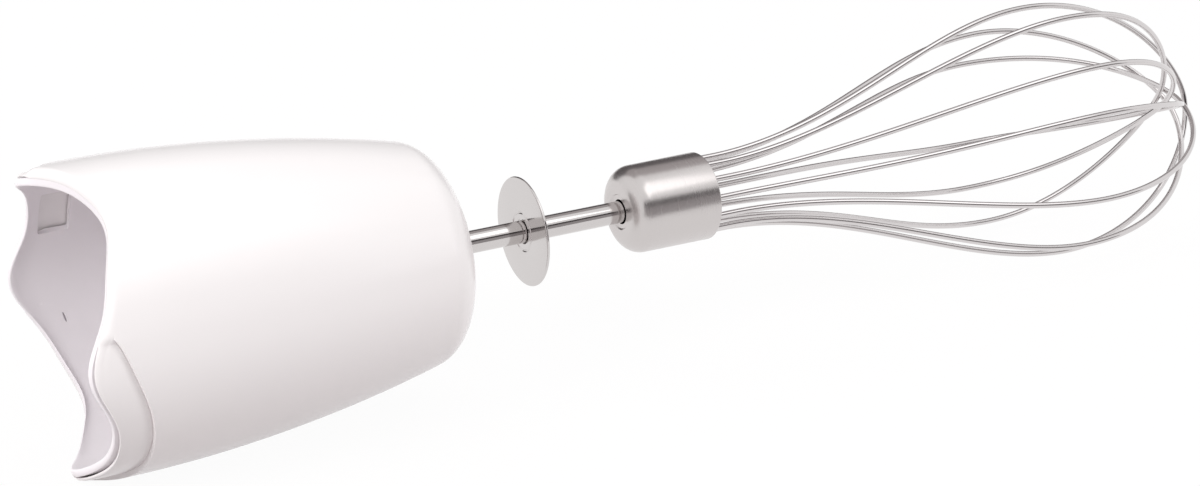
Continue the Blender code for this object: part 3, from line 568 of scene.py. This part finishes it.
def rimRows():
    # The cover's rim from its inner side to its outer one. Away from the scoops it meets the
    # sleeve and rolls outward; at a scoop it is thin and stands back from the sleeve.
    h = housing
    skin = h["coverWall"] + h["sleeveGap"]
    innerRadius = coverRadius(0, h["coverWall"])
    outerRadius = h["mouthRadius"] - scoop["depth"]
    shut = []
    thin = []
    for z in (seam["back"], seam["back"] * 0.75, -h["rimRound"] * 0.9):
        closed = z < seam["back"]
        shut.append((z, coverRadius(max(z, 0), skin) + seam["gap"] if closed else innerRadius))
        thin.append((max(z, 0), shut[-1][1] + (scoop["grooveOut"] if closed else 0)))
    start = shut[-1][1] + seam["edge"]
    reach = coverRadius(h["rimRoll"]) - start
    steps = (20, 45, 70, 90, 110, 130, 150, 165, 180)
    for i, degrees in enumerate(steps):
        roll = math.pi / 2 * i / (len(steps) - 1)
        drop = (h["rimRound"] + h["rimRoll"]) * (1 - math.cos(roll))
        shut.append((drop - h["rimRound"], start + reach * math.sin(roll)))
        across, up = ridge(degrees)
        thin.append((-h["rimRound"] * up, thin[2][1] + (outerRadius - thin[2][1]) * across))
    rows = []
    for (z, r), (thinStation, thinRadius) in zip(shut, thin):
        rows.append((z, r, r - thinRadius, scoop["rimStep"] + thinStation - z, 0, 0))
    return rows


def scoopRows():
    # The floor of a thumb scoop, its edge, and the cover just behind it
    rows = []
    start = housing["rimRoll"]
    edge = start + scoop["edgeLength"]
    rise = scoop["length"] - scoop["lip"]
    lower = scoop["lip"] - edge
    back = scoop["rimStep"] - start
    for share in (0.1, 0.3, 0.5, 0.7, 0.94, 1.0):
        z = start + (edge - start) * share
        dip = scoop["depth"] + (scoop["crease"] if share == 1 else 0)
        rows.append((z, coverRadius(z), dip, back * (1 - share), rise * share, lower * share))
    for i in range(1, 4):
        share = i / 3
        z = edge + scoop["step"] * share
        rows.append((z, coverRadius(z), scoop["depth"] * (1 - share), 0, rise, lower))
    for i in range(1, 5):
        share = i / 5
        z = edge + scoop["step"] + scoop["easeLength"] * share**2
        eased = rise * (1 - share * scoop["easeBack"])
        rows.append((z, coverRadius(z), 0, 0, eased, lower * (1 - share)))
    return rows


def buildCover():
    h = housing
    hole, edge = h["noseHoleRadius"], h["noseHoleEdge"]
    outside = coverOutline(0, *h["outsidePoints"])
    inside = coverOutline(h["coverWall"], *h["insidePoints"])
    points = [(z, r) for z, r in outside if z > scoop["length"] + scoop["clearBehind"]]
    for back, out in ((0, edge), (edge / 3, edge / 3), (edge, 0), (h["coverWall"], 0)):
        points.append((h["noseStation"] - back, hole + out))
    points += [(z, r) for z, r in inside[::-1] if z > 2 * seam["back"]]
    rows = rimRows() + scoopRows() + plainRows(points)
    mesh = bendShell("outerCover", rows, glossWhite)
    mesh.transform(drawingToFrame)
    return newPiece("outerCover", mesh, glossWhite)


latchWindow = {"station": 0.0040, "length": 0.0066, "width": 0.0128, "corner": 0.0004}
rimBead = {"height": 0.0004, "length": 0.0030}  # the bore closes a little towards the rim
# Shallow marks of the mould in the sleeve's bore
mouldMarks = {
    "slit": {
        "station": 0.0079,
        "turn": -111.3,
        "tilt": -13,
        "around": 0.0022,
        "along": 0.0005,
        "depth": 0.0008,
    },
    "pinDimple": {
        "station": 0.0032,
        "turn": -104.0,
        "tilt": 0,
        "around": 0.0009,
        "along": 0.0009,
        "depth": 0.0001,
    },
}


def sleeveBore(station, bore):
    share = max(0.0, 1 - max(0.0, station) / rimBead["length"])
    return coverRadius(station, bore) - rimBead["height"] * share * share


def sleeveRim(skin, bore):
    # The sleeve's rim from its inner side to its outer one: flush with the cover's rim, and a
    # thinner round ridge at a scoop
    rows = []
    rounding = housing["rimRound"]
    start = sleeveBore(0, bore)
    width = bore - skin + rimBead["height"]
    for i, degrees in enumerate((20, 45, 70, 90, 110, 135, 160)):
        angle = math.radians(degrees)
        across, up = ridge(degrees)
        thinRadius = start + (width - seam["rebate"]) * across
        z = -rounding * math.sin(min(angle, math.pi / 2))
        if i < 3:
            r = start + rounding * (1 - math.cos(angle))
        else:
            r = start + (rounding + (width - rounding) * (i - 3) / 4)
        rows.append((z, r, r - thinRadius, 0, 0, -rounding * up - z))
    rows.append((-rounding, coverRadius(0, skin), seam["rebate"], 0, 0, rounding))
    return rows


def cuttingTool(worker, place):
    bmesh.ops.transform(worker, matrix=place, verts=worker.verts)
    mesh = bpy.data.meshes.new("cuttingTool")
    worker.to_mesh(mesh)
    worker.free()
    return newPiece("cuttingTool", mesh)


def windowTools(bore):
    w = latchWindow
    reach = 4 * housing["sleeveWall"]
    tools = []
    for side in range(2):
        worker = bmesh.new()
        bmesh.ops.create_cube(worker, size=1.0)
        bmesh.ops.scale(worker, vec=(reach, w["width"], w["length"]), verts=worker.verts)
        spans = {edge: abs((edge.verts[0].co - edge.verts[1].co).x) for edge in worker.edges}
        corners = {"geom": [edge for edge, span in spans.items() if span > reach / 2]}
        corners.update(offset=w["corner"], segments=3, profile=0.5, affect="EDGES")
        bmesh.ops.bevel(worker, **corners)
        middle = w["station"] + w["length"] / 2
        place = Matrix.Translation((coverRadius(w["station"], bore), 0, middle))
        turn = Matrix.Rotation(rimShape["Scoop turn"] + math.pi * side, 4, "Z")
        tools.append(cuttingTool(worker, turn @ place))
    return tools


def screwHoleTools():
    h = housing
    back = h["seatStation"] + h["seatThickness"]
    size = {"radius1": h["screwHole"], "radius2": h["screwHole"], "depth": 4 * h["seatThickness"]}
    tools = []
    for i in range(3):
        worker = bmesh.new()
        bmesh.ops.create_cone(worker, cap_ends=True, segments=24, **size)
        turn = Matrix.Rotation(2 * math.pi * i / 3, 4, "Z")
        tools.append(cuttingTool(worker, turn @ Matrix.Translation((h["screwCircle"], 0, back))))
    return tools


def markTools(bore):
    unit = {"radius1": 0.5, "radius2": 0.5, "depth": 2.0}  # half of its height is in the wall
    tools = []
    for mark in mouldMarks.values():
        worker = bmesh.new()
        bmesh.ops.create_cone(worker, cap_ends=True, segments=20, **unit)
        shape = Matrix.Diagonal((mark["along"], mark["around"], mark["depth"], 1))
        tilt = Matrix.Rotation(math.radians(mark["tilt"]), 4, "X")
        lean = tilt @ Matrix.Rotation(math.pi / 2, 4, "Y")
        place = Matrix.Translation((coverRadius(mark["station"], bore), 0, mark["station"]))
        turn = Matrix.Rotation(math.radians(mark["turn"]), 4, "Z")
        tools.append(cuttingTool(worker, turn @ place @ lean @ shape))
    return tools


def sleeveRows(skin, bore):
    # From the rim back along the outside, over the seat, and along the bore to the rim again
    h = housing
    seat, seatBore = h["seatStation"], h["seatBoreRadius"]
    seatBack = seat + h["seatThickness"]
    rebateEnd = seam["rebateLength"]
    stations = [0, 0.0007, 0.0015, 0.003, rebateEnd]  # closer over the bead and the rebate
    stations += list(np.linspace(rebateEnd + 0.0005, seat, 20))
    rows = sleeveRim(skin, bore)
    for z in stations[1:]:
        rebate = seam["rebate"] if z <= rebateEnd else 0
        rows.append((z, coverRadius(z, skin), rebate, 0, 0, 0))
    points = [(seatBack, coverRadius(seatBack, skin)), (seatBack, seatBore), (seat, seatBore)]
    for i in range(5):  # hollow fillet between the seat and the wall
        angle = math.pi / 2 * i / 4
        r = coverRadius(seat, bore) - h["seatFillet"] * (1 - math.sin(angle))
        points.append((seat - h["seatFillet"] * (1 - math.cos(angle)), r))
    points += [(z, sleeveBore(z, bore)) for z in stations[-2::-1]]
    return rows + plainRows(points)


def buildSleeve():
    skin = housing["coverWall"] + housing["sleeveGap"]
    bore = skin + housing["sleeveWall"]
    spread = {"Scoop edge": seam["spread"]}
    mesh = bendShell("innerSleeve", sleeveRows(skin, bore), satinWhite, **spread)
    sleeve = newPiece("innerSleeve", mesh, satinWhite)
    tools = windowTools(bore) + screwHoleTools() + markTools(bore)
    for tool in tools:
        cut = sleeve.modifiers.new("cut", "BOOLEAN")
        cut.object = tool
        cut.solver = "EXACT"
    mesh = plainMeshOf(sleeve, "innerSleeve")
    for old in [*tools, sleeve]:
        bpy.data.objects.remove(old)
    finishMesh(mesh)
    mesh.transform(drawingToFrame)
    return newPiece("innerSleeve", mesh, satinWhite)


outerCover = buildCover()
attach(outerCover, "housing")
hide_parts("outer_cover")
innerSleeve = buildSleeve()
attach(innerSleeve, "housing")
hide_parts("inner_sleeve")
print("housing built")


# Whisk: turned metal parts on the shaft
whiskShaft = {
    "radius": 0.0025,
    "core": 0.00001,  # the outline is a ring, so a hair is left open at the axis
    "start": 0.0563,
    "end": 0.1446,
    "chamfer": 0.0004,
    "sides": 64,
}
splashDisc = {
    "station": 0.1030,
    "radius": 0.01225,
    "thickness": 0.0006,
    "collarRadius": 0.00375,
    "collarHeight": 0.0013,
    "collarFoot": 0.0003,
    "collarRound": 0.0005,
    "ringRadius": 0.0043,
    "ringWidth": 0.0006,
    "ringFloor": 0.0002,
    "ringDepth": 0.0002,
    "bore": 0.0028,
    "boreChamfer": 0.0003,
    "edge": 0.0001,
    "sides": 160,
}
ferrule = {
    "station": 0.12715,
    "length": 0.02105,
    "radius": 0.00990,
    "flare": 0.00015,
    "corner": 0.0044,
    "wall": 0.0006,
    "lipRound": 0.00025,
    "bore": 0.0028,
    "floor": 0.0008,
    "neckRadius": 0.0041,
    "neckSlope": 0.0003,
    "neckDepth": 0.0004,
    "neckRound": 0.0002,
    "edge": 0.0001,
    "sides": 160,
}


def buildShaft():
    s = whiskShaft
    outline = filleted([
        (s["core"], s["end"], 0),
        (s["radius"], s["end"], s["chamfer"]),
        (s["radius"], s["start"], s["chamfer"]),
        (s["core"], s["start"], 0),
    ], 3)
    return turnedPiece("whiskShaft", outline, s["sides"], polishedSteel)


def buildDisc():
    d = splashDisc
    front = d["station"]
    back = front + d["thickness"]
    collarEnd = front + d["collarHeight"]
    ring, ringFloor = d["ringWidth"] / 2, d["ringFloor"] / 2
    edge = d["edge"]
    rim = d["thickness"] * 0.45  # all but a full round
    outline = filleted([
        (d["radius"], back, rim),
        (d["radius"], front, rim),
        (d["ringRadius"] + ring, front, edge),  # a pressed ring round the shaft
        (d["ringRadius"] + ringFloor, front + d["ringDepth"], edge),
        (d["ringRadius"] - ringFloor, front + d["ringDepth"], edge),
        (d["ringRadius"] - ring, front, edge),
        (d["bore"] + d["boreChamfer"], front, edge),
        (d["bore"], front + edge, edge / 2),
        (d["bore"], collarEnd, edge),
        (d["collarRadius"], collarEnd, d["collarRound"]),
        (d["collarRadius"], back, d["collarFoot"]),
    ], 5)
    return turnedPiece("splashDisc", outline, d["sides"], polishedSteel, 40)


def buildCup():
    f = ferrule
    front = f["station"]
    mouth = front + f["length"]
    neck = front + f["neckDepth"]
    floor = front + f["floor"]
    inner = f["radius"] - f["wall"]
    outline = filleted([
        (f["radius"] + f["flare"], mouth, f["lipRound"]),
        (f["radius"], front, f["corner"]),
        (f["neckRadius"], front, f["neckSlope"]),
        (f["neckRadius"] - f["neckSlope"], neck, f["neckRound"]),
        (f["bore"], neck, f["edge"]),
        (f["bore"], floor, f["edge"]),
        (inner, floor, f["corner"] - f["wall"]),
        (inner + f["flare"], mouth, 2 * f["edge"]),
    ], 12)
    return turnedPiece("ferruleCup", outline, f["sides"], satinSteel, 40)


shaftPiece = buildShaft()
discPiece = buildDisc()
cupPiece = buildCup()
for piece, nodeName, slotName in (
    (shaftPiece, "whisk_shaft", "polished_steel"),
    (discPiece, "splash_disc", "polished_steel"),
    (cupPiece, "ferrule_cup", "satin_steel"),
):
    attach(piece, "whisk")
    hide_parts(nodeName)
print("shaft, disc and ferrule built")


# Balloon: loops of round wire swept along their paths
balloon = {
    "wire": 0.0014,  # diameter
    "rootRadius": 0.0083,
    "rootStation": 0.1498,
    "rootSlope": -0.02,
    "rootHandle": 0.0375,
    "wideStation": 0.2445,
    "wideRadius": 0.0303,
    "wideHandleIn": 0.0298,
    "wideHandleOut": 0.0291,
    "tipStation": 0.2879,
    "tipHandle": 0.0103,
    "turn": -15.0,  # degrees, of the first loop
    "end": 0.13245,  # where the wires end in the plug
    "straightPoints": 5,
    "pathPoints": 24,
    "sides": 16,
    "spacing": 0.0012,
}
# Each hand-bent loop: reach of its tip, swell of its two sides, turn in degrees, lean of its
# sides, and how far its tip is set aside
loopBends = (
    (0.00625, 0.960, 1.020, -9.0, 0.0043, -0.0025),
    (-0.0013, 1.050, 1.085, 6.4, -0.0025, -0.0034),
    (-0.0045, 1.042, 1.060, -0.5, 0.0004, 0.0012),
    (-0.0026, 0.943, 0.880, -9.9, 0.0004, 0.0018),
    (0.0011, 1.026, 1.021, -0.1, 0.0004, -0.0005),
    (0.0031, 1.073, 1.005, -6.5, 0.0025, 0.0050),
)


def wirePoint(station, radius, phase, sign, turn, aside):
    angle = math.radians(phase + turn)
    x = sign * radius * math.cos(angle) - aside * math.sin(angle)
    y = sign * radius * math.sin(angle) + aside * math.cos(angle)
    return (x, y, station)


def wireSide(bend, phase, sign):
    reach, swellA, swellB, turn, lean, offset = bend
    b = balloon
    swell = swellA if sign > 0 else swellB
    run = bezier(
        (b["rootStation"], b["rootRadius"]),
        (b["rootStation"] + b["rootHandle"], b["rootRadius"] + b["rootSlope"] * b["rootHandle"]),
        (b["wideStation"] - b["wideHandleIn"], b["wideRadius"]),
        (b["wideStation"], b["wideRadius"]),
        b["pathPoints"],
    )
    cap = bezier(
        (b["wideStation"], b["wideRadius"]),
        (b["wideStation"] + b["wideHandleOut"], b["wideRadius"]),
        (b["tipStation"], b["tipHandle"]),
        (b["tipStation"], 0),
        b["pathPoints"],
    )
    straight = np.linspace(b["end"], b["rootStation"], b["straightPoints"], endpoint=False)
    points = [wirePoint(z, b["rootRadius"], phase, sign, 0, 0) for z in straight]
    for station, radius in np.vstack([run, cap[1:]]):
        opened = smoothStep((station - b["rootStation"]) / (b["wideStation"] - b["rootStation"]))
        capped = smoothStep((station - b["wideStation"]) / (b["tipStation"] - b["wideStation"]))
        out = radius * (1 + (swell - 1) * opened)
        aside = lean * opened * (1 - capped) + offset * capped
        points.append(wirePoint(station + reach * capped, out, phase, sign, turn * opened, aside))
    return points


def loopPath(number):
    phase = balloon["turn"] + 180 * number / len(loopBends)
    first = wireSide(loopBends[number], phase, 1)
    second = wireSide(loopBends[number], phase, -1)
    return first + second[-2::-1]


def buildWireTree():
    sizes = {"Diameter": "Float", "Spacing": "Float", "Sides": "Int"}
    tree, given = openTree("sweptWire", sizes)
    path = {"Curve": given["Geometry"]}
    smooth = addNode(tree, "GeometryNodeCurveSplineType", path, spline_type="CATMULL_ROM")
    spaced = {"Curve": smooth, "Length": given["Spacing"]}
    even = addNode(tree, "GeometryNodeResampleCurve", spaced, mode="LENGTH")
    halved = {0: given["Diameter"], 1: 0.5}
    radius = addNode(tree, "ShaderNodeMath", halved, operation="MULTIPLY")
    ring = {"Resolution": given["Sides"], "Radius": radius}
    section = addNode(tree, "GeometryNodeCurvePrimitiveCircle", ring)
    sweep = {"Curve": even, "Profile Curve": section, "Fill Caps": True}
    swept = addNode(tree, "GeometryNodeCurveToMesh", sweep)
    return closeTree(tree, swept, given["Finish"])


def buildLoop(number, tree):
    points = loopPath(number)
    curve = bpy.data.curves.new("loopPath", "CURVE")
    curve.dimensions = "3D"
    spline = curve.splines.new("POLY")
    spline.points.add(len(points) - 1)
    for target, point in zip(spline.points, points):
        target.co = (*point, 1)
    source = bpy.data.objects.new("loopPath", curve)
    bpy.context.scene.collection.objects.link(source)
    modifier = source.modifiers.new("sweptWire", "NODES")
    modifier.node_group = tree
    setInputs(modifier, {
        "Diameter": balloon["wire"],
        "Spacing": balloon["spacing"],
        "Sides": balloon["sides"],
        "Finish": wireSteel,
    })
    mesh = plainMeshOf(source, f"wireLoop{number + 1}")
    bpy.data.objects.remove(source)
    finishMesh(mesh, 60)
    mesh.transform(drawingToFrame)
    return newPiece(f"wireLoop{number + 1}", mesh, wireSteel)


wireTree = buildWireTree()
for number in range(len(loopBends)):
    loop = buildLoop(number, wireTree)
    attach(loop, "whisk")
    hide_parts(f"wire_loop_{number + 1}")
print("wire loops swept")


# Stage
camera = {
    "place": (-0.256500, -0.426163, 0.227173),
    "right": (0.87719, -0.48015, 0.0),
    "down": (-0.18372, -0.33564, -0.92390),
    "forward": (0.44361, 0.81043, -0.38263),
    "lens": 70.5,
    "sensor": 36.0,
    "clipStart": 0.01,
}
lamps = {
    "key": {
        "place": (0.22, -0.46, 1.0),
        "aim": (-0.03, 0, 0.03),
        "size": (0.84, 0.58),
        "power": 1.35,
    },
    "mouthFill": {
        "place": (-1.00, -0.22, 0.60),
        "aim": (-0.12, 0, 0.03),
        "size": (0.4, 0.4),
        "power": 6.6,
    },
    "noseFill": {
        "place": (0.85, -0.80, 0.42),
        "aim": (-0.05, 0, 0.03),
        "size": (0.5, 0.5),
        "power": 5.3,
    },
    "top": {
        "place": (-0.10, 0.75, 0.80),
        "aim": (-0.05, 0, 0.03),
        "size": (0.9, 0.5),
        "power": 2.5,
    },
}
surroundings = {
    "background": "#ffffff",
    "level": 0.56,  # of the light from all round; what is seen of it stays at 1
    "floorSize": 6.0,
    "board": "#b6b0b1",
    "floorGlow": 0.9,  # share of the floor that shows as plain white, the rest takes shadow
    "glowLevel": 1.06,
}
# Glowing grey sheets around the set that only bright metal shows: painted reflections that make the
# dark bands along it
cards = {
    "frontCard": {
        "from": (-1.3, -1.25, 0.0),
        "along": (3.0, 0, 0),
        "up": (0, 0, 0.52),
        "colour": "#a6a2a3",
    },
    "frontShade": {
        "from": (-1.3, -1.25, 0.52),
        "along": (3.0, 0, 0),
        "up": (0, 0, 0.44),
        "colour": "#504c4d",
    },
    "frontApron": {
        "from": (-1.3, -1.25, 0.001),
        "along": (3.0, 0, 0),
        "up": (0, 0.85, 0),
        "colour": "#979394",
    },
    "backCard": {
        "from": (-0.6, 1.1, 0.0),
        "along": (2.4, 0, 0),
        "up": (0, 0, 0.85),
        "colour": "#666263",
    },
    "backShade": {
        "from": (-0.6, 1.1, 0.85),
        "along": (2.4, 0, 0),
        "up": (0, -0.5, 0.9),
        "colour": "#b5b0b0",
    },
}


def setCamera():
    c = camera
    data = bpy.data.cameras.new("camera")
    data.lens = c["lens"]
    data.sensor_width = c["sensor"]
    data.clip_start = c["clipStart"]
    view = bpy.data.objects.new("camera", data)
    columns = [c["right"], [-v for v in c["down"]], [-v for v in c["forward"]]]
    turn = Matrix(columns).transposed().to_4x4()
    view.matrix_world = Matrix.Translation(c["place"]) @ turn
    bpy.context.scene.collection.objects.link(view)
    bpy.context.scene.camera = view


def addLamp(name, place, aim, size, power):
    data = bpy.data.lights.new(name, "AREA")
    data.shape = "RECTANGLE"
    data.size, data.size_y = size
    data.energy = power
    lamp = bpy.data.objects.new(name, data)
    bpy.context.scene.collection.objects.link(lamp)
    lamp.location = place
    toward = Vector(aim) - lamp.location
    lamp.rotation_euler = toward.to_track_quat("-Z", "Y").to_euler()
    lamp.visible_camera = False
    lamp.visible_glossy = name == "key"  # the only lamp that bright metal shows


def addSight(tree):
    # 1 for what the camera sees straight, mirrored or through glass, and 0 for other light
    path = tree.nodes.new("ShaderNodeLightPath").outputs
    seen = path["Is Camera Ray"]
    for ray in ("Is Glossy Ray", "Is Transmission Ray"):
        seen = addNode(tree, "ShaderNodeMath", {0: seen, 1: path[ray]}, operation="MAXIMUM")
    return seen


def setWorld():
    world = bpy.data.worlds.new("world")
    bpy.context.scene.world = world
    world.use_nodes = True
    tree = world.node_tree
    tree.nodes.clear()
    levels = {"Value": addSight(tree), "To Min": surroundings["level"], "To Max": 1.0}
    strength = addNode(tree, "ShaderNodeMapRange", levels)
    shown = {"Color": toLinear(surroundings["background"]), "Strength": strength}
    light = addNode(tree, "ShaderNodeBackground", shown)
    addNode(tree, "ShaderNodeOutputWorld", {"Surface": light})


def addFloor():
    mesh = bpy.data.meshes.new("floor")
    half = surroundings["floorSize"] / 2
    corners = [(-half, -half, 0), (half, -half, 0), (half, half, 0), (-half, half, 0)]
    mesh.from_pydata(corners, [], [(0, 1, 2, 3)])
    # Painted board, sprayed matt white: a clean ground that still takes a soft shadow
    material = bpy.data.materials.new("mattWhiteBoard")
    material.use_nodes = True
    tree = material.node_tree
    tree.nodes.clear()
    matt = addNode(tree, "ShaderNodeBsdfDiffuse", {"Color": toLinear(surroundings["board"])})
    bright = {"Color": toLinear(surroundings["background"]), "Strength": surroundings["glowLevel"]}
    glow = addNode(tree, "ShaderNodeEmission", bright)
    glowing = {0: addSight(tree), 1: surroundings["floorGlow"]}
    share = addNode(tree, "ShaderNodeMath", glowing, operation="MULTIPLY")
    surface = addNode(tree, "ShaderNodeMixShader", {0: share, 1: matt, 2: glow})
    addNode(tree, "ShaderNodeOutputMaterial", {"Surface": surface})
    newPiece("floor", mesh, material)


def addCard(name, card):
    corner, along, up = (np.array(card[key], dtype=float) for key in ("from", "along", "up"))
    corners = [corner, corner + along, corner + along + up, corner + up]
    mesh = bpy.data.meshes.new(name)
    mesh.from_pydata(corners, [], [(0, 1, 2, 3)])
    # A glowing sheet that is no lamp and no real card: only mirrored rays see it, so its grey is a
    # painted reflection in bright metal
    material = bpy.data.materials.new("paintedReflectionGlow")
    material.use_nodes = True
    tree = material.node_tree
    tree.nodes.clear()
    surface = addNode(tree, "ShaderNodeEmission", {"Color": toLinear(card["colour"])})
    addNode(tree, "ShaderNodeOutputMaterial", {"Surface": surface})
    piece = newPiece(name, mesh, material)
    # hidden from the camera, from other light and from shadows, it shows only as a painted
    # reflection
    piece.visible_camera = False
    piece.visible_diffuse = False
    piece.visible_shadow = False
    piece.visible_transmission = False


setCamera()
for name, lamp in lamps.items():
    addLamp(name, **lamp)
setWorld()
addFloor()
for name, card in cards.items():
    addCard(name, card)
bpy.context.scene.view_settings.view_transform = "Standard"
print("stage set")
